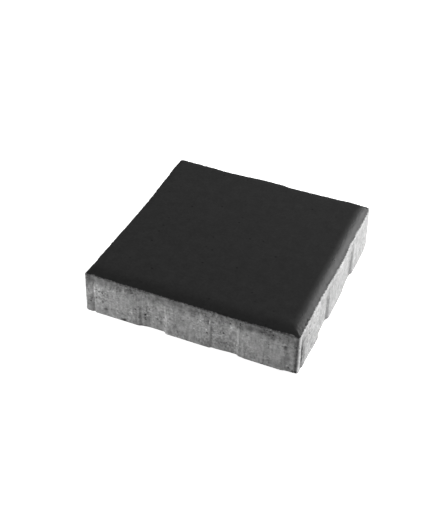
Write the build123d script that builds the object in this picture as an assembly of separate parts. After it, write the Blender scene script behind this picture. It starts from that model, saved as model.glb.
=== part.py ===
from build123d import *
import math
import os

# Concrete paver: one square vibro-pressed block with spacer pads on its four walls.
# The origin is the centre of the bed face, +Z is up, and the front wall looks along -Y.

# Overall sizes, in millimetres
paver_side = 300.0          # outside of the spacer pads, the same both ways
paver_height = 60.0         # bed face to wearing face

# Spacer pads, which end below the wearing face
pads_per_side = 3
pad_projection = 4.0        # how far the foot of a pad stands out from the lowest part of the wall
pad_draft = 1.6             # how much less the top of its face stands out
pad_face_width = 58.0
pad_flank_run = 11.0        # length along the wall of each sloping flank
pad_fade_height = 8.0       # height over which the top of a pad slopes back to the wall
pad_corner_radius = 6.0     # rounding of the upper corners of a pad's face
pad_edge_radius = 9.0       # soft edge between a pad's face and its slopes
pad_top_margin = 9.0        # plain wall between the top of a pad and the arris
pad_end_margin = 4.0        # plain wall between the end pads and the corners

# Walls
wall_swell = 1.6            # how far the wall bows out behind each pad
corner_swell = 0.6          # how far a corner stands out from the lowest part of the wall
corner_radius = 3.0         # worn vertical corners

# Wearing face, which rolls down to its arris all round
shoulder_run = 19.0
shoulder_drop = 2.0

# Worked out from the sizes above
wall_plane = paver_side / 2 - pad_projection
corner_reach = wall_plane + corner_swell
arris_height = paver_height - shoulder_drop
pad_base_height = arris_height - pad_top_margin
pad_face_height = pad_base_height - pad_fade_height
pad_base_width = pad_face_width + 2 * pad_flank_run
end_pad_place = wall_plane - pad_end_margin - pad_base_width / 2
pad_pitch = 2 * end_pad_place / (pads_per_side - 1)
pad_places = [i * pad_pitch - end_pad_place for i in range(pads_per_side)]


def wall_line():
    # Front wall seen from above: it bows out behind each pad and falls back between them.
    points = [(-corner_reach, -corner_reach)]
    for place in pad_places:
        points.append((place, -wall_plane - wall_swell))
        points.append((place + pad_pitch / 2, -wall_plane))
    points[-1] = (corner_reach, -corner_reach)
    return Spline(*points)


def body():
    walls = [Rot(0, 0, 90 * turn) * wall_line() for turn in range(4)]
    block = extrude(make_face(walls), amount=paver_height)
    return fillet(block.edges().filter_by(Axis.Z), corner_radius)


def shoulder_section():
    # Upright section of the wearing face: flat, then one tangent arc down to the arris.
    flat_half = wall_plane - shoulder_run
    roll_radius = (shoulder_run**2 + shoulder_drop**2) / (2 * shoulder_drop)
    roll_angle = math.asin(shoulder_run / roll_radius)
    outer_half = paver_side / 2
    outer_height = arris_height - pad_projection * math.tan(roll_angle)
    bed = Line((-outer_half, 0), (outer_half, 0))
    right_side = Line(bed @ 1, (outer_half, outer_height))
    right_slope = Line(right_side @ 1, (wall_plane, arris_height))
    right_roll = TangentArc(
        (flat_half, paver_height), (wall_plane, arris_height), tangent=(1, 0)
    )
    top = Line((flat_half, paver_height), (-flat_half, paver_height))
    left_roll = TangentArc(top @ 1, (-wall_plane, arris_height), tangent=(-1, 0))
    left_slope = Line(left_roll @ 1, (-outer_half, outer_height))
    left_side = Line(left_slope @ 1, bed @ 0)
    return make_face(
        [bed, right_side, right_slope, right_roll, top, left_roll, left_slope, left_side]
    )


def wearing_face_envelope():
    # The same section run both ways, so the rolled bands meet in mitres at the corners.
    section = extrude(Plane.XZ * shoulder_section(), amount=paver_side / 2, both=True)
    return section & Rot(0, 0, 90) * section


def rounded_top(width, height, radius):
    outline = Rectangle(width, height, align=(Align.CENTER, Align.MIN))
    return fillet(outline.vertices().group_by(Axis.Y)[-1], radius)


def spacer_pad():
    # Front pad at the middle of its wall: a leaning face with sloping flanks and a sloping top.
    wall = Plane(origin=(0, -wall_plane, 0), x_dir=(1, 0, 0), z_dir=(0, -1, 0))
    front = Plane(
        origin=(0, -paver_side / 2, 0), x_dir=(1, 0, 0), z_dir=(0, -pad_face_height, pad_draft)
    )
    base_radius = pad_corner_radius + pad_fade_height
    base = rounded_top(pad_base_width, pad_base_height, base_radius)
    face = rounded_top(pad_face_width, pad_face_height, pad_corner_radius)
    pad = loft([wall * base, front * face])
    pad_face = pad.faces().sort_by(Axis.Y)[0]
    upper_edges = pad_face.edges().sort_by(Axis.Z)[1:]
    return fillet(upper_edges, pad_edge_radius)


def paver():
    pad = spacer_pad()
    pads = [
        Rot(0, 0, 90 * turn) * Pos(place, 0, 0) * pad
        for turn in range(4)
        for place in pad_places
    ]
    block = body() & wearing_face_envelope()
    return block + pads


os.makedirs("parts", exist_ok=True)
export_step(paver(), "parts/paver.step")
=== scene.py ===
import bpy
import math
import numpy as np
from mathutils import Matrix, Vector
from mathutils.geometry import delaunay_2d_cdt


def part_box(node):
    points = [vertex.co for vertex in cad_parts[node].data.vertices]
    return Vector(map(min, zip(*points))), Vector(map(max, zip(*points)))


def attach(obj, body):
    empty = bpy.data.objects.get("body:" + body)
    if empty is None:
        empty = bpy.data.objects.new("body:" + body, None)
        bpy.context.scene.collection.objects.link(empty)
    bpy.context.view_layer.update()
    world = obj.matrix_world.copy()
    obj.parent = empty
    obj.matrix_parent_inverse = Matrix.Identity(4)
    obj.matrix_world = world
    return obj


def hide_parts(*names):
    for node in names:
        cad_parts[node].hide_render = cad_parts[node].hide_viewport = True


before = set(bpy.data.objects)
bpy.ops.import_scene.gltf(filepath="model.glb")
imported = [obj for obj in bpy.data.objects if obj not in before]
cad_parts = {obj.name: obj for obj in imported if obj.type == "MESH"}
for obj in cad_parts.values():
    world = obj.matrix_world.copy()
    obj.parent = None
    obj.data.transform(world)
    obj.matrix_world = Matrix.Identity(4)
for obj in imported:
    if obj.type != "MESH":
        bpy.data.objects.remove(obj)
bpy.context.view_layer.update()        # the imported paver, in metres, +Z up
lowCorner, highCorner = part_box("paver")
print("frame loaded, block", [round(v, 4) for v in highCorner - lowCorner])


# Small helpers for node trees: a value goes into a socket, a socket is linked to it.
def addNode(tree, kind, inputs=None, **settings):
    made = tree.nodes.new(kind)
    for name, value in settings.items():
        setattr(made, name, value)
    for name, value in (inputs or {}).items():
        if isinstance(value, bpy.types.NodeSocket):
            tree.links.new(value, made.inputs[name])
        else:
            made.inputs[name].default_value = value
    return made


def calc(tree, operation, *values):
    return addNode(tree, "ShaderNodeMath", dict(enumerate(values)), operation=operation).outputs[0]


def total(tree, first, *others):
    for other in others:
        first = calc(tree, "ADD", first, other)
    return first


def product(tree, first, *others):
    for other in others:
        first = calc(tree, "MULTIPLY", first, other)
    return first


def ramp(tree, value, low, high, toLow=0.0, toHigh=1.0, smooth=False):
    kind = "SMOOTHSTEP" if smooth else "LINEAR"
    inputs = {"Value": value, "From Min": low, "From Max": high, "To Min": toLow, "To Max": toHigh}
    return addNode(tree, "ShaderNodeMapRange", inputs, interpolation_type=kind).outputs["Result"]


def blended(tree, share, first, second):
    # Plain numbers, because every colour of this block is a grey.
    return addNode(tree, "ShaderNodeMix", {0: share, 2: first, 3: second}).outputs[0]


# Camera: where the photograph was taken from, in degrees and metres.
photoCamera = {
    "azimuth": 22.56,
    "elevation": 39.10,
    "roll": 1.24,
    "distance": 1.3553,
    "aimRight": 0.01550,
    "aimDown": 0.01046,
    "focalPixels": 981.0,
    "longSidePixels": 530,
    "sensorWidth": 36.0,
}


def directionFrom(azimuth, elevation):
    # Azimuth 0 looks along +Y, so it stands in front of the block; +X is at 90.
    azimuth, elevation = math.radians(azimuth), math.radians(elevation)
    level = math.cos(elevation)
    return Vector((math.sin(azimuth) * level, -math.cos(azimuth) * level, math.sin(elevation)))


def addCamera(place):
    back = directionFrom(place["azimuth"], place["elevation"])
    turn = back.to_track_quat("Z", "Y").to_matrix() @ Matrix.Rotation(math.radians(place["roll"]), 3, "Z")
    data = bpy.data.cameras.new("photoCamera")
    data.sensor_width = place["sensorWidth"]
    data.lens = place["focalPixels"] / place["longSidePixels"] * place["sensorWidth"]
    camera = bpy.data.objects.new("photoCamera", data)
    bpy.context.scene.collection.objects.link(camera)
    shift = turn @ Vector((-place["aimRight"], place["aimDown"], 0))
    camera.matrix_world = Matrix.Translation(back * place["distance"] + shift) @ turn.to_4x4()
    bpy.context.scene.camera = camera


addCamera(photoCamera)
bpy.context.scene.view_settings.view_transform = "Standard"
print("camera placed")


# Studio: pale floor, soft key light on the right, rim light behind and low fill light on the left.
studio = {
    "skyLight": 0.22,
    "skySeen": 1.0,
    "floorColour": 0.70,
    "floorGlow": 0.75,
    "floorSize": 12.0,
    "keyLight": {"azimuth": 120, "elevation": 22, "distance": 2.8, "size": 1.3, "power": 76.0},
    "rimLight": {"azimuth": 170, "elevation": 41, "distance": 3.0, "size": 0.8, "power": 60.0},
    "fillLight": {"azimuth": -66, "elevation": 26, "distance": 0.9, "size": 0.5, "power": 4.6},
}


def seenDirectly(tree):
    path = addNode(tree, "ShaderNodeLightPath").outputs
    seen = calc(tree, "MAXIMUM", path["Is Camera Ray"], path["Is Glossy Ray"])
    return calc(tree, "MAXIMUM", seen, path["Is Transmission Ray"])


def addWorld(look):
    world = bpy.data.worlds.new("studioWorld")
    bpy.context.scene.world = world
    world.use_nodes = True
    tree = world.node_tree
    tree.nodes.clear()
    strength = blended(tree, seenDirectly(tree), look["skyLight"], look["skySeen"])
    background = addNode(tree, "ShaderNodeBackground", {"Color": (1, 1, 1, 1), "Strength": strength})
    addNode(tree, "ShaderNodeOutputWorld", {"Surface": background.outputs[0]})


def addFloor(look):
    half = look["floorSize"] / 2
    mesh = bpy.data.meshes.new("studioFloor")
    corners = [(-half, -half, 0), (half, -half, 0), (half, half, 0), (-half, half, 0)]
    mesh.from_pydata(corners, [], [(0, 1, 2, 3)])
    floor = bpy.data.objects.new("studioFloor", mesh)
    bpy.context.scene.collection.objects.link(floor)
    material = bpy.data.materials.new("paleFloor")
    material.use_nodes = True
    tree = material.node_tree
    tree.nodes.clear()
    grey = look["floorColour"]
    matt = addNode(tree, "ShaderNodeBsdfDiffuse", {"Color": (grey, grey, grey, 1)})
    glow = product(tree, seenDirectly(tree), look["floorGlow"])
    shine = addNode(tree, "ShaderNodeEmission", {"Color": (1, 1, 1, 1), "Strength": glow})
    both = addNode(tree, "ShaderNodeAddShader", {0: matt.outputs[0], 1: shine.outputs[0]})
    addNode(tree, "ShaderNodeOutputMaterial", {"Surface": both.outputs[0]})
    mesh.materials.append(material)


def addSoftLight(name, look):
    back = directionFrom(look["azimuth"], look["elevation"])
    data = bpy.data.lights.new(name, "AREA")
    data.size = look["size"]
    data.energy = look["power"]
    lamp = bpy.data.objects.new(name, data)
    lamp.visible_camera = False
    bpy.context.scene.collection.objects.link(lamp)
    turn = back.to_track_quat("Z", "Y").to_matrix().to_4x4()
    lamp.matrix_world = Matrix.Translation(back * look["distance"]) @ turn


addWorld(studio)
addFloor(studio)
for name in ("keyLight", "rimLight", "fillLight"):
    addSoftLight(name, studio[name])
print("studio lit")


# The block's own form, in millimetres. Its overall size comes from the frame.
# The walls are measured from a plane that lies padReach inside the block's overall side.
paverForm = {
    "name": "paverBlock",
    "padReach": 4.0,            # how far the foot of a full pad stands out
    "padDraft": 0.32,           # share of that which is gone at the top of a pad's face
    "padTop": 49.0,             # height at which a pad has sloped back into the wall
    "fadeRun": 8.0,             # height over which it slopes back
    "padCorner": 4.5,           # how much lower a pad's top is at its flanks
    "crease": 0.3,              # softness of the line where a pad leaves the wall
    "arrisDrop": 2.0,           # from the flat of the wearing face down to the top of the walls
    "shoulderReach": 28.0,      # width of the band inside the arris that is meshed in rings
    "mitre": 3.0,               # how sharply two rolled edges meet in a corner
    "stepAlong": 1.0,           # mesh spacing along the walls
    "stepUp": 1.15,             # up them
    "stepShoulder": 1.6,        # over the shoulder
    "stepFlat": 4.2,            # and on the flats
    "cornerSteps": 4,           # fewest points round a corner
    "rimRings": ((1.3, 2), (3.2, 4)),   # how far in from a flat's rim, and one point in how many is kept
    "gridInset": 1.6,           # steps between the rim of a flat and the grid inside it
    "gridShake": 0.2,           # share of a step that a grid point may be off
    "gridSeed": 7,
    "reliefRise": 4.0,          # height over which the relief sets in above the bed edge
    "shoulderRelief": 0.5,      # share of the relief at the arris
    "faceRelief": 0.1,          # and on the flat of the wearing face
}

# The walls, anticlockwise from the front, each measured along from its left end to its right.
# line: how far the arris stands out or, below zero, falls back.
# foot: how far the bed edge stands out or, below zero, how much further in than the arris it is.
# cornerRadius: of the corner at the wall's right end, where both walls have the same line and foot.
# strip: how dark the band under the arris is.
# wear: how far the dark skin has worn back from the arris.
# polish: how smooth the rolled edge came off the mould.
# speckle: how coarse the wall's grain looks.
# rollRun, rollCurve and rollDrop: how wide the rolled edge is, how late it turns down and how far.
# marks: single hollows, as place along, height, half width, half height and depth.
# stains and painted light: lighter and darker patches, some of them stains, others painted shade beside
# pads and in recesses and painted highlights on flank edges and at corners, as place along, height, half
# width, half height and shade.
wallForms = [
    {   # front
        "rollRun": 28.0,
        "rollCurve": 2.0,
        "rollDrop": [(-146, 2.0), (108, 2.0), (146, 1.0)],
        "line": [(-146, 2.0), (-138, -0.8), (-126, 0.1), (-112, -0.1), (-98, 0.2), (-80, 0.6), (-66, 0.2),
                 (-52, 0.6), (-20, 0.6), (0, 0.8), (20, 0.5), (54, 1.0), (72, 0.8), (90, 0.2), (102, 0.2),
                 (114, 0.3), (126, 1.0), (138, 0.7), (146, 1.8)],
        "wear": [(-146, 1.6), (-124, 1.0), (-60, 0.8), (0, 0.5), (100, 0.8), (126, 1.6), (137, 2.4),
                 (142, 0.8), (146, 0.2)],
        "foot": [(-146, 3.4), (-137, 3.6), (-134.5, 2.0), (-132, 3.8), (-130, 4.0), (-76, 4.0),
                 (-69, 3.7), (-66.5, 2.4), (-63, 1.9), (-57, 0.9), (-45, 0.0), (-38, 0.4), (-34, 0.9),
                 (-31, 3.6), (-28, 4.0), (27, 4.0), (30, 3.8), (32.5, 2.3), (36, 2.5), (40, 2.3),
                 (48, 1.8), (62, 0.5), (65.5, 0.7), (69, 2.9), (73, 3.2), (77, 3.9), (80, 4.0),
                 (125, 4.0), (128, 3.7), (131, 2.6), (136, 2.2),
                 (146, 2.3)],
        "cornerRadius": 2.0,
        "strip": 0.8,
        "polish": [(-146, 0.0), (146, 0.0)],
        "speckle": 1.0,
        "marks": [(-90, 2.0, 3.0, 1.6, 0.8), (-116, 10, 2.6, 2.0, 1.3), (28, 41, 1.2, 3.5, 1.5),
                  (130, 37, 1.8, 3.6, 1.4), (143.4, 26, 1.2, 36.0, 1.0), (-68, 16, 1.5, 2.4, 0.8),
                  (-6, 31, 1.5, 1.5, 0.8)],
        "stainsAndPaintedLight": [(98, 50, 26, 4.0, -0.30), (-84, 51, 7, 4.5, -0.22), (-21, 52, 6, 4.5, -0.24),
                   (-90.5, 0.5, 4, 3.5, -0.55), (-128, 45, 3.5, 5, 0.30), (-113, 48, 2, 4, 0.22),
                   (62, 46, 10, 8, 0.17), (126, 46, 9, 5, 0.12), (130, 14, 14, 14, -0.10),
                   (-75, 12, 7, 9, 0.15), (-31, 25, 1.6, 5, 0.18), (-67, 18, 1.1, 16, -0.20),
                   (31.8, 20, 1.1, 18, -0.25), (-64.4, 20, 1.3, 20, 0.20), (35.4, 20, 1.3, 22, 0.18),
                   (67.8, 20, 1.5, 18, 0.14), (-140, 28, 6, 34, -0.14), (138, 28, 6, 34, -0.08),
                   (145, 26, 1.6, 34, -0.55), (142, 0, 4, 3.0, -0.6), (130.3, 37, 1.8, 2.6, -0.35),
                   (-30.6, 28, 1.2, 18, 0.16), (-122, 33, 7, 9, 0.08), (-58, 28, 4, 12, 0.07),
                   (103, 13, 1.0, 14, -0.20), (141.8, 55, 2.6, 1.8, 0.7), (-144, 50, 3.0, 7, 0.28)],
    },
    {   # right
        "rollRun": 20.0,
        "rollCurve": 2.5,
        "rollDrop": [(-146, 2.0), (146, 2.0)],
        "wear": [(-146, 0.2), (-141, 1.0), (-134, 1.5), (-110, 1.2), (-84, 1.6), (-50, 1.2), (0, 1.6),
                 (40, 1.1), (60, 1.6), (146, 1.6)],
        "line": [(-146, 1.8), (-128, 1.7), (-114, 1.6), (-98, 1.9), (-84, 1.4), (-64, 1.3), (-42, 1.6),
                 (-28, 2.4), (-10, 2.9), (14, 3.2), (34, 2.5), (52, 1.5), (72, 1.9), (84, 1.7), (98, 2.2),
                 (130, 2.2), (146, 1.0)],
        "foot": [(-146, 2.3), (-141, 2.1), (-138.5, 1.5), (-137, 1.4), (-134.5, 2.6), (-130, 2.7),
                 (-118, 2.7), (-104, 3.1), (-92, 3.8), (-76, 3.9), (-70, 2.4), (-66, 0.9), (-60, 0.0),
                 (-43, -0.9), (-39.5, -0.7), (-36.4, 2.8), (-33.5, 4.0), (25, 4.0), (30, 2.1), (40, 1.8),
                 (46, 0.8), (58, -0.2), (62, 0.3), (66, 3.5), (72, 4.0), (124, 4.0), (129, 3.6),
                 (133, 2.8), (139, 2.2), (146, 2.2)],
        "cornerRadius": 6.5,
        "strip": 0.0,
        "polish": [(-146, 0.12), (-144.7, 0.12), (-143.2, 1.0), (146, 1.0)],
        "speckle": 0.76,
        "marks": [(-137, 27, 1.8, 21.0, 1.4), (-133.5, 40, 2.0, 3.0, 1.2), (-70, 22, 3.5, 4.0, 1.0)],
        "stainsAndPaintedLight": [(-130, 22, 11, 26, -0.22), (-137, 20, 3.2, 24, -0.28), (-130.5, 20, 5, 20, -0.16),
                   (-127, 48, 9, 5, -0.11), (-137, 41, 4, 4, -0.12), (-120, 40, 3.5, 4, -0.10),
                   (-138.5, 7, 3, 6, -0.18), (-38.6, 10, 3.4, 20, -0.28), (-40, 38, 5.5, 9, -0.24),
                   (64, 18, 4, 24, -0.28), (58.5, 20, 5, 20, -0.20), (75, 28, 5, 14, 0.10),
                   (-55, 16, 7, 4.5, -0.14), (0, 54, 150, 3.5, 0.10), (-144.6, 26, 1.8, 32, 0.16)],
    },
    {   # back
        "rollRun": 10.0,
        "rollCurve": 3.0,
        "rollDrop": [(-146, 2.0), (-133, 1.4), (-118, 1.0), (146, 1.0)],
        "wear": [(-146, 0.8), (146, 0.8)],
        "line": [(-146, 1.0), (-132, 0.6), (-118, 0.9), (-84, -0.9), (-68, -1.0), (-54, -1.9),
                 (-32, -1.0), (-10, 1.8), (14, 2.1), (32, 0.1), (56, -1.8), (72, -2.1), (110, 0.9),
                 (128, 0.6), (146, 2.2)],
        "foot": [(-146, 2.2), (-139, 2.0), (-134, 2.6), (-130, 3.8), (-126, 4.0), (-73, 4.0),
                 (-69, 3.0), (-62, 1.4), (-50, 0.2), (-40, 0.3), (-34, 1.4), (-29, 3.7), (-26, 4.0),
                 (27, 4.0), (31, 3.0), (38, 1.6), (50, 0.5), (62, 0.6), (68, 1.8), (74, 3.7),
                 (78, 4.0), (126, 4.0), (131, 3.4), (137, 2.6), (146, 3.6)],
        "cornerRadius": 3.0,
        "strip": 0.6,
        "polish": [(-146, 1.0), (-132, 0.0), (146, 0.0)],
        "speckle": 0.8,
        "marks": [(-60, 14, 2.4, 2.0, 1.4), (88, 33, 1.8, 1.8, 1.2)],
        "stainsAndPaintedLight": [(-70, 52, 24, 4.5, -0.28), (40, 50, 12, 4.5, -0.22), (110, 30, 14, 12, 0.08)],
    },
    {   # left
        "rollRun": 10.0,
        "rollCurve": 3.0,
        "rollDrop": [(-146, 1.0), (146, 1.0)],
        "wear": [(-146, 0.8), (120, 0.8), (146, 1.6)],
        "line": [(-146, 2.2), (-126, 2.3), (-98, 0.9), (-60, -0.8), (-42, -1.5), (0, -2.1), (42, -1.4),
                 (70, -1.0), (112, 0.0), (124, -0.3), (133, -0.1), (140, 0.5), (146, 2.0)],
        "foot": [(-146, 3.6), (-137, 3.0), (-133, 2.4), (-129, 3.8), (-125, 4.0), (-74, 4.0),
                 (-70, 3.2), (-64, 1.7), (-52, 0.4), (-42, 0.2), (-35, 1.2), (-29, 3.6), (-26, 4.0),
                 (26, 4.0), (31, 3.1), (37, 1.9), (52, 0.6), (64, 0.8), (70, 2.3), (76, 3.8),
                 (80, 4.0), (126, 4.0), (131, 3.4), (137, 3.0), (146, 3.4)],
        "cornerRadius": 3.0,
        "strip": 0.8,
        "polish": [(-146, 0.0), (146, 0.0)],
        "speckle": 0.9,
        "marks": [(-30, 26, 2.0, 2.6, 1.4), (104, 8, 2.6, 2.0, 1.5)],
        "stainsAndPaintedLight": [(20, 52, 30, 4.5, -0.28), (-100, 51, 9, 4.5, -0.22), (96, 24, 12, 14, 0.08)],
    },
]


def smoothLine(points, along):
    # A cubic through the points that never swings past them.
    places, heights = np.array(points, float).T
    spans = np.diff(places)
    slopes = np.diff(heights) / spans
    before, after = slopes[:-1], slopes[1:]
    shared = np.where(before * after > 0, 2 * before * after / (before + after + 1e-12), 0)
    tangents = np.concatenate([[0], shared, [0]])
    i = np.clip(np.searchsorted(places, along) - 1, 0, len(spans) - 1)
    t = np.clip((along - places[i]) / spans[i], 0, 1)
    ends = heights[i] * (1 + 2 * t) * (1 - t) ** 2 + heights[i + 1] * t * t * (3 - 2 * t)
    return ends + spans[i] * t * (1 - t) * (tangents[i] * (1 - t) - tangents[i + 1] * t)


def wallOffset(form, wall, along, height):
    # How far a wall stands out at a place along it, at one height.
    line = smoothLine(wall["line"], along)
    foot = smoothLine(wall["foot"], along)
    pad = np.maximum(foot, 0)
    faceTop = form["padTop"] - form["fadeRun"]
    top = form["padTop"] - form["padCorner"] * (1 - pad / form["padReach"]) ** 2
    fade = np.clip((top - height) / form["fadeRun"], 0, 1)
    fade = fade * fade * (3 - 2 * fade)
    rise = pad * (1 - form["padDraft"] * min(height / faceTop, 1.0)) - line
    stands = line + (foot - pad + (rise + np.hypot(rise, form["crease"])) / 2) * fade
    return np.minimum(stands, form["padReach"])


def topHeight(form, walls, half, plan):
    # Height of the wearing face over points of the plan: four rolled edges, softly joined in the corners.
    sharp = form["mitre"]
    drops = np.zeros(len(plan))
    for turn, wall in enumerate(walls):
        angle = turn * math.pi / 2
        along = plan[:, 0] * math.cos(angle) + plan[:, 1] * math.sin(angle)
        inside = half - (plan[:, 0] * math.sin(angle) - plan[:, 1] * math.cos(angle))
        share = np.maximum(1 - inside / wall["rollRun"], 0)
        drops += (smoothLine(wall["rollDrop"], along) * share ** wall["rollCurve"]) ** sharp
    return highCorner.z * 1000 - drops ** (1 / sharp)


def roundedSquare(half, form, walls):
    # The line that the four walls stand on: wall number, place along, point and outward direction.
    rows = []
    for turn, wall in enumerate(walls):
        before, radius = walls[turn - 1]["cornerRadius"], wall["cornerRadius"]
        spin = turn * math.pi / 2
        length = 2 * half - before - radius
        count = round(length / form["stepAlong"])
        for i in range(count):
            along = before - half + length * i / count
            rows.append((turn, along, along, -half, 0.0, spin))
        steps = max(form["cornerSteps"], round(math.pi / 2 * radius / form["stepAlong"]))
        for i in range(steps):
            angle = math.pi / 2 * i / steps
            x = half - radius + radius * math.sin(angle)
            y = radius - half - radius * math.cos(angle)
            near = angle < math.pi / 4
            rows.append((turn if near else (turn + 1) % 4, x if near else y, x, y, angle, spin))
    wallNumber, along, x, y, angle, spin = np.array(rows).T
    point = np.stack([x * np.cos(spin) - y * np.sin(spin), x * np.sin(spin) + y * np.cos(spin)], axis=1)
    outward = np.stack([np.sin(angle + spin), -np.cos(angle + spin)], axis=1)
    return wallNumber.astype(int), along, point, outward


def fillInside(form, ring):
    # Triangles that close a flat face: close together at its rim and wide apart in the middle.
    rng = np.random.default_rng(form["gridSeed"])
    step, shake = form["stepFlat"], form["gridShake"]
    reach = np.abs(ring).max()
    rims = [(ring * (1 - inset / reach))[::skip] for inset, skip in form["rimRings"]]
    places = np.linspace(-1, 1, int(2 * reach / step)) * (reach - form["gridInset"] * step)
    grid = np.stack(np.meshgrid(places, places), axis=-1).reshape(-1, 2)
    grid = grid + rng.uniform(-shake, shake, grid.shape) * step
    points = [Vector(p) for p in np.concatenate([ring, *rims, grid])]
    edges = [(i, (i + 1) % len(ring)) for i in range(len(ring))]
    insideOnly, tolerance = 1, 1e-4
    filled = delaunay_2d_cdt(points, edges, [], insideOnly, tolerance)
    return np.array([(p.x, p.y) for p in filled[0][len(ring):]]), filled[2]


def columns(count, *values):
    # One row for each of count points. A single number stands for all of them.
    return np.stack([np.broadcast_to(value, count) for value in values], axis=1)


def marked(marks, along, level, sharpness):
    # Each mark, or patch of stain or of painted light and shade, with how strongly it shows at places
    # along a wall at one height.
    for place, up, halfWidth, halfHeight, strength in marks:
        sideways, upwards = (along - place) / halfWidth, (level - up) / halfHeight
        yield np.exp(-(sideways ** sharpness + upwards ** sharpness)), strength


def buildShell(form, walls):
    height = highCorner.z * 1000
    half = highCorner.x * 1000 - form["padReach"]
    arris = height - form["arrisDrop"]
    wallNumber, along, point, outward = roundedSquare(half, form, walls)
    count = len(along)
    wear, polish = np.zeros((2, count))
    for turn, wall in enumerate(walls):
        mine = wallNumber == turn
        wear[mine] = smoothLine(wall["wear"], along[mine])
        polish[mine] = smoothLine(wall["polish"], along[mine])
    rows, notes = [], []

    # Walls, row by row from the bed face to the arris
    for level in np.linspace(0, arris, round(arris / form["stepUp"]) + 1):
        offset, hollow, paintedLightAndStain = np.zeros((3, count))
        for turn, wall in enumerate(walls):
            mine = wallNumber == turn
            offset[mine] = wallOffset(form, wall, along[mine], level)
            for share, depth in marked(wall["marks"], along[mine], level, 2):
                hollow[mine] = np.maximum(hollow[mine], share)
                offset[mine] -= depth * share
            # Stains together with painted shade and painted highlights, summed into one shade
            for share, shade in marked(wall["stainsAndPaintedLight"], along[mine], level, 4):
                paintedLightAndStain[mine] += shade * share
        rows.append(columns(count, *(point + outward * offset[:, None]).T, level))
        relief = min(level / form["reliefRise"], 1.0)
        notes.append(columns(count, level - arris, relief, hollow, paintedLightAndStain, wear, polish, wallNumber))
    arrisPlan = rows[-1][:, :2]
    rows[-1][:, 2] = topHeight(form, walls, half, arrisPlan)

    # Shoulder, ring by ring from the arris to the flat
    rings = round(form["shoulderReach"] / form["stepShoulder"])
    flat = point * (half - form["shoulderReach"]) / half
    for ring in range(1, rings + 1):
        share = ring / rings
        plan = arrisPlan * (1 - share) + flat * share
        rows.append(columns(count, *plan.T, topHeight(form, walls, half, plan)))
        inside = form["shoulderReach"] * share
        relief = max(form["faceRelief"], form["shoulderRelief"] - share)
        notes.append(columns(count, inside, relief, 0, 0, wear, polish, wallNumber))

    faces = []
    around = list(zip(range(count), np.roll(range(count), -1)))
    lastRing = len(rows) - 1
    for row in range(lastRing):
        low, high = row * count, (row + 1) * count
        faces += [(low + i, low + j, high + j, high + i) for i, j in around]

    # Flat middle of the wearing face, then the bed face
    flats = ((lastRing, height, form["shoulderReach"], form["faceRelief"]), (0, 0.0, -height, 0.0))
    for row, level, inside, relief in flats:
        added, triangles = fillInside(form, rows[row][:, :2])
        before = sum(len(points) for points in rows)
        rows.append(columns(len(added), *added.T, level))
        notes.append(columns(len(added), inside, relief, 0, 0, 0, 0, 0))
        for triangle in triangles:
            corners = [row * count + v if v < count else before + v - count for v in triangle]
            faces.append(corners if level > 0 else corners[::-1])

    vertices = np.concatenate(rows)
    mesh = bpy.data.meshes.new(form["name"])
    mesh.from_pydata((vertices / 1000).tolist(), [], faces)
    mesh.shade_smooth()
    rim, relief, hollow, paintedLightAndStain, wear, polish, wallOf = np.concatenate(notes).T
    rolled = np.sqrt(np.minimum((height - vertices[:, 2]) / form["arrisDrop"], 1))
    wallOf = wallOf.astype(int)
    attributes = {
        "rimDistance": rim,     # millimetres inwards from the arris, below zero down the wall
        "skinShare": relief,    # how much of the relief a point takes
        "hollowShare": hollow,  # 1 in the middle of a mark
        "stripShare": np.array([wall["strip"] for wall in walls])[wallOf],
        "speckleShare": np.array([wall["speckle"] for wall in walls])[wallOf],
        "stainAndPaintedLight": paintedLightAndStain,    # below zero where the wall is darker
        "skinWear": wear,       # millimetres
        "rollShare": rolled,    # 0 on the flat of the wearing face, 1 at a fully rolled arris
        "polishShare": polish * rolled,
    }
    for name, values in attributes.items():
        mesh.attributes.new(name, "FLOAT", "POINT").data.foreach_set("value", values.astype(np.float32))
    block = bpy.data.objects.new(form["name"], mesh)
    bpy.context.scene.collection.objects.link(block)
    return block


block = buildShell(paverForm, wallForms)
print("shell built:", len(block.data.polygons), "faces")


# Relief of the pressed surface, in metres. It only cuts in, so the block keeps its size.
# Scales are those of the noise and of the Voronoi cells. A cut begins where the noise reaches Start
# and has its depth at Full.
castRelief = {
    "grainDepth": 0.00045,
    "grainScale": 420.0,
    "grainStart": 0.42,
    "grainFull": 0.75,
    "rippleDepth": 0.0005,
    "rippleScale": 48.0,
    "rippleStart": 0.40,
    "rippleFull": 0.75,
    "pitDepth": 0.0011,
    "pitScale": 165.0,
    "pitShare": 0.30,           # share of the cells that hold a pit
    "pitSmallest": 0.16,        # radius of a pit, as a share of a cell
    "pitLargest": 0.42,
    "chipDepth": 0.0009,
    "chipScale": 120.0,
    "chipStart": 0.50,
    "chipFull": 0.72,
    "chipReach": 3.5,           # millimetres from the arris
    "seed": 3.0,
}


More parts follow.
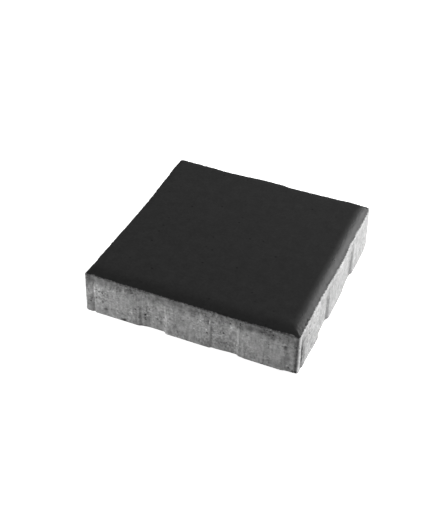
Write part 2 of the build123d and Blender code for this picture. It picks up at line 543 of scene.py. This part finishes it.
def reliefTree():
    tree = bpy.data.node_groups.new("castRelief", "GeometryNodeTree")
    tree.interface.new_socket("Geometry", in_out="INPUT", socket_type="NodeSocketGeometry")
    tree.interface.new_socket("Geometry", in_out="OUTPUT", socket_type="NodeSocketGeometry")
    for name in castRelief:
        tree.interface.new_socket(name, in_out="INPUT", socket_type="NodeSocketFloat")
    tree.interface.new_socket("material", in_out="INPUT", socket_type="NodeSocketMaterial")
    given = addNode(tree, "NodeGroupInput").outputs
    place = addNode(tree, "GeometryNodeInputPosition").outputs[0]
    normal = addNode(tree, "GeometryNodeInputNormal").outputs[0]

    def noted(name):
        kind = "GeometryNodeInputNamedAttribute"
        return addNode(tree, kind, {"Name": name}, data_type="FLOAT").outputs[0]

    def hollowed(name, detail, rough, smooth=False):
        # 0 where a noise leaves the skin as it is, 1 where it cuts to its depth
        inputs = {"Vector": place, "W": given["seed"], "Scale": given[name + "Scale"]}
        inputs.update({"Detail": detail, "Roughness": rough})
        noise = addNode(tree, "ShaderNodeTexNoise", inputs, noise_dimensions="4D").outputs[0]
        return ramp(tree, noise, given[name + "Start"], given[name + "Full"], smooth=smooth)

    grain = product(tree, hollowed("grain", 3.0, 0.6), given["grainDepth"])
    ripple = product(tree, hollowed("ripple", 2.0, 0.5), given["rippleDepth"])

    # Round pits in some of the cells of a Voronoi pattern, none where the relief is faint
    inputs = {"Vector": place, "W": given["seed"], "Scale": given["pitScale"]}
    cells = addNode(tree, "ShaderNodeTexVoronoi", inputs, voronoi_dimensions="4D").outputs
    draw = addNode(tree, "ShaderNodeSeparateXYZ", {0: cells["Color"]}).outputs
    radius = ramp(tree, draw[1], 0.0, 1.0, given["pitSmallest"], given["pitLargest"])
    inPit = ramp(tree, calc(tree, "DIVIDE", cells["Distance"], radius), 1.0, 0.3, smooth=True)
    isPit = calc(tree, "LESS_THAN", draw[0], given["pitShare"])
    skin = noted("skinShare")
    pit = product(tree, inPit, isPit, ramp(tree, skin, 0.3, 0.6))

    # Chips along the arris
    rim = calc(tree, "ABSOLUTE", noted("rimDistance"))
    nearRim = ramp(tree, rim, given["chipReach"], 0.0, smooth=True)
    chip = product(tree, hollowed("chip", 3.0, 0.6, smooth=True), nearRim, given["chipDepth"])

    cut = product(tree, total(tree, grain, ripple, product(tree, pit, given["pitDepth"])), skin)
    cut = total(tree, cut, chip)
    inwards = {0: normal, "Scale": product(tree, cut, -1.0)}
    offset = addNode(tree, "ShaderNodeVectorMath", inwards, operation="SCALE").outputs[0]
    moved = addNode(tree, "GeometryNodeSetPosition", {"Geometry": given["Geometry"], "Offset": offset})
    # Where the pits and marked hollows are, for the painted shade of the material
    stored = addNode(tree, "GeometryNodeStoreNamedAttribute", {
        "Geometry": moved.outputs[0],
        "Name": "pitShare",
        "Value": calc(tree, "MAXIMUM", pit, noted("hollowShare")),
    }, data_type="FLOAT", domain="POINT")
    real = addNode(tree, "GeometryNodeRealizeInstances", {"Geometry": stored.outputs[0]}).outputs[0]
    done = addNode(tree, "GeometryNodeSetMaterial", {"Geometry": real, "Material": given["material"]})
    addNode(tree, "NodeGroupOutput", {"Geometry": done.outputs[0]})
    return tree


def applyRelief(piece, values, material):
    tree = reliefTree()
    modifier = piece.modifiers.new("castRelief", "NODES")
    modifier.node_group = tree
    for item in tree.interface.items_tree:
        if item.in_out == "INPUT" and item.name in values:
            modifier[item.identifier] = values[item.name]
        if item.in_out == "INPUT" and item.name == "material":
            modifier[item.identifier] = material
    evaluated = piece.evaluated_get(bpy.context.evaluated_depsgraph_get())
    finished = bpy.data.meshes.new_from_object(evaluated)
    piece.modifiers.remove(modifier)
    shell = piece.data
    piece.data = finished
    bpy.data.meshes.remove(shell)
    finished.name = piece.name


# Pressed concrete: near black on the wearing face, grey and speckled on the walls.
concreteLook = {
    "face": 0.0112,
    "body": 0.46,
    "faceRoughness": 0.7,
    "polishedRoughness": 0.26,
    "bodyRoughness": 0.9,
    "specular": 0.056,
    "bumpStrength": 0.6,
    "bumpDistance": 0.0005,
    # Patterns: noise scale, detail, roughness, half of the range in use, and how much it adds or takes
    "cloud": (26, 2.0, 0.5, 0.20, 0.07),
    "blotch": (110, 3.0, 0.6, 0.14, 0.16),
    "grain": (330, 2.0, 0.6, 0.15, 0.26),
    "dust": (1000, 2.0, 0.5, 0.20, 0.14),
    "streak": (260, 2.0, 0.5, 0.15, 0.12),
    "patches": (150, 3.0, 0.5, 0.20, 0.4),
    "mottle": (90, 4.0, 0.6, 0.20, 0.18),
    "freckle": (300, 2.0, 0.6, 0.20, 0.18),
    "stripEdge": (80, 4.0, 0.65, 0.20, 5.5),        # this and the next two in millimetres
    "smearEdge": (230, 2.0, 0.5, 0.20, 1.6),
    "skinEdge": (420, 2.0, 0.5, 0.20, 0.8),
    "streakStretch": (1, 1, 0.10),
    # Broad patches of closed and open skin: noise, range in use, and speckle in the one and the other
    "openSkin": (38, 3.0, 0.5),
    "openRange": (0.36, 0.62),
    "openShare": (0.55, 1.25),
    # Round spots: scale of the cells, share of them with a spot, radius as a share of a cell, and shade
    "grit": (240, 0.10, 0.45, 0.55),
    "pores": (230, 0.12, 0.42, -0.60),
    "pinholes": (110, 0.20, 0.22, -0.85),
    # Down the wall from the arris: millimetres to where it ends and to where it is full, and shade
    "strip": (19.0, 7.0, 0.43),
    "smear": (2.5, 0.0, 0.4),
    # the next entry is a painted highlight along the arris of a wall without the strip
    "paintedArrisHighlight": (3.2, 0.8, 1.16),
    "paintedPitShade": 0.45,             # painted shade in the middle of a pit or marked hollow
    "rolled": 0.64,             # painted shade of the dark skin where it is rolled
    "rolledFrom": 0.75,         # share of the roll at which it has that shade
    "polishedFrom": 0.4,        # share of polish at which it is as smooth as it gets
    "skinStart": 0.1,           # millimetres in from the arris to where the skin sets in
    "skinFull": 0.9,            # and, before any wear, to where it is whole
    # Bump: noise scale, detail and roughness
    "fineGrain": (1000, 3.0, 0.6),
    "coarseGrain": (330, 3.0, 0.6),
    "faceGrain": 0.25,          # share of both on the wearing face
}


def pressedConcrete(look):
    material = bpy.data.materials.new("pressedConcrete")
    material.use_nodes = True
    tree = material.node_tree
    tree.nodes.clear()
    place = addNode(tree, "ShaderNodeTexCoord").outputs["Object"]

    def attribute(name):
        return addNode(tree, "ShaderNodeAttribute", attribute_name=name).outputs["Fac"]

    def noise(where, scale, detail, rough):
        inputs = {"Vector": where, "Scale": scale, "Detail": detail, "Roughness": rough}
        return addNode(tree, "ShaderNodeTexNoise", inputs).outputs[0]

    def pattern(name, where=place):
        scale, detail, rough, spread, depth = look[name]
        return ramp(tree, noise(where, scale, detail, rough), 0.5 - spread, 0.5 + spread, -depth, depth)

    def spots(name):
        scale, share, radius, shade = look[name]
        cells = addNode(tree, "ShaderNodeTexVoronoi", {"Vector": place, "Scale": scale}).outputs
        draw = addNode(tree, "ShaderNodeSeparateXYZ", {0: cells["Color"]}).outputs
        spot = ramp(tree, cells["Distance"], radius, radius * 0.4, smooth=True)
        return product(tree, spot, calc(tree, "LESS_THAN", draw[0], share), shade)

    def band(name, distance, share):
        # Shade of a band along the arris, which only shows as far as the wall has a share in it
        end, full, shade = look[name]
        inBand = ramp(tree, distance, -end, -full, smooth=True)
        return blended(tree, product(tree, inBand, share), 1.0, shade)

    rim, stripShare = attribute("rimDistance"), attribute("stripShare")

    # Grey body
    drawn = {0: place, 1: look["streakStretch"]}
    drawnOut = addNode(tree, "ShaderNodeVectorMath", drawn, operation="MULTIPLY").outputs[0]
    openSkin = noise(place, *look["openSkin"])
    openSkin = ramp(tree, openSkin, *look["openRange"], *look["openShare"], smooth=True)
    rough = total(tree, pattern("grain"), pattern("dust"), spots("grit"), spots("pores"))
    rough = product(tree, rough, openSkin)
    uneven = total(tree, pattern("blotch"), pattern("streak", drawnOut), rough)
    uneven = product(tree, uneven, attribute("speckleShare"))
    body = product(tree, total(tree, 1.0, pattern("cloud"), uneven), look["body"])
    # Painted shade in pits and marked hollows
    paintedPitShade = blended(tree, attribute("pitShare"), 1.0, look["paintedPitShade"])
    # Stains, painted shade and painted highlights from the walls' lists, varied by patches
    paintedLightAndStain = product(tree, attribute("stainAndPaintedLight"), total(tree, 1.0, pattern("patches")))

    # Dark strip under the arris, ragged below, and almost black at the arris itself.
    # A wall without it is painted lighter there, a painted highlight along the arris.
    strip = band("strip", total(tree, rim, pattern("stripEdge")), stripShare)
    smear = band("smear", total(tree, rim, pattern("smearEdge")), stripShare)
    paintedArrisHighlight = band("paintedArrisHighlight", rim, calc(tree, "SUBTRACT", 1.0, stripShare))
    body = product(tree, body, paintedArrisHighlight, paintedPitShade, total(tree, 1.0, paintedLightAndStain), strip, smear)

    # Dark skin of the wearing face, smoother where it is rolled and darker there by painted shade
    mottle = total(tree, 1.0, pattern("mottle"))
    freckle = total(tree, 1.0, pattern("freckle"))
    pinholes = total(tree, 1.0, spots("pinholes"))
    roll = attribute("rollShare")
    paintedRollShade = ramp(tree, roll, 0.0, look["rolledFrom"], 1.0, look["rolled"], smooth=True)
    dark = product(tree, mottle, freckle, paintedRollShade, pinholes, look["face"])
    edge = total(tree, rim, pattern("skinEdge"))
    whole = total(tree, look["skinFull"], attribute("skinWear"))
    onFace = ramp(tree, edge, look["skinStart"], whole, smooth=True)
    grey = blended(tree, onFace, body, dark)
    colour = addNode(tree, "ShaderNodeCombineXYZ", {0: grey, 1: grey, 2: grey}).outputs[0]
    polished = ramp(tree, attribute("polishShare"), 0.0, look["polishedFrom"], smooth=True)
    faceRough = blended(tree, polished, look["faceRoughness"], look["polishedRoughness"])

    fine = noise(place, *look["fineGrain"])
    coarse = noise(place, *look["coarseGrain"])
    faceGrain = product(tree, total(tree, fine, coarse), look["faceGrain"])
    bump = addNode(tree, "ShaderNodeBump", {
        "Height": blended(tree, onFace, fine, faceGrain),
        "Strength": look["bumpStrength"],
        "Distance": look["bumpDistance"],
    })
    shader = addNode(tree, "ShaderNodeBsdfPrincipled", {
        "Base Color": colour,
        "Roughness": blended(tree, onFace, look["bodyRoughness"], faceRough),
        "Specular IOR Level": look["specular"],
        "Normal": bump.outputs[0],
    })
    addNode(tree, "ShaderNodeOutputMaterial", {"Surface": shader.outputs[0]})
    return material


applyRelief(block, castRelief, pressedConcrete(concreteLook))
triangles = sum(len(face.vertices) - 2 for face in block.data.polygons)
print("relief cut:", triangles, "triangles")

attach(block, "root")
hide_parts("paver")
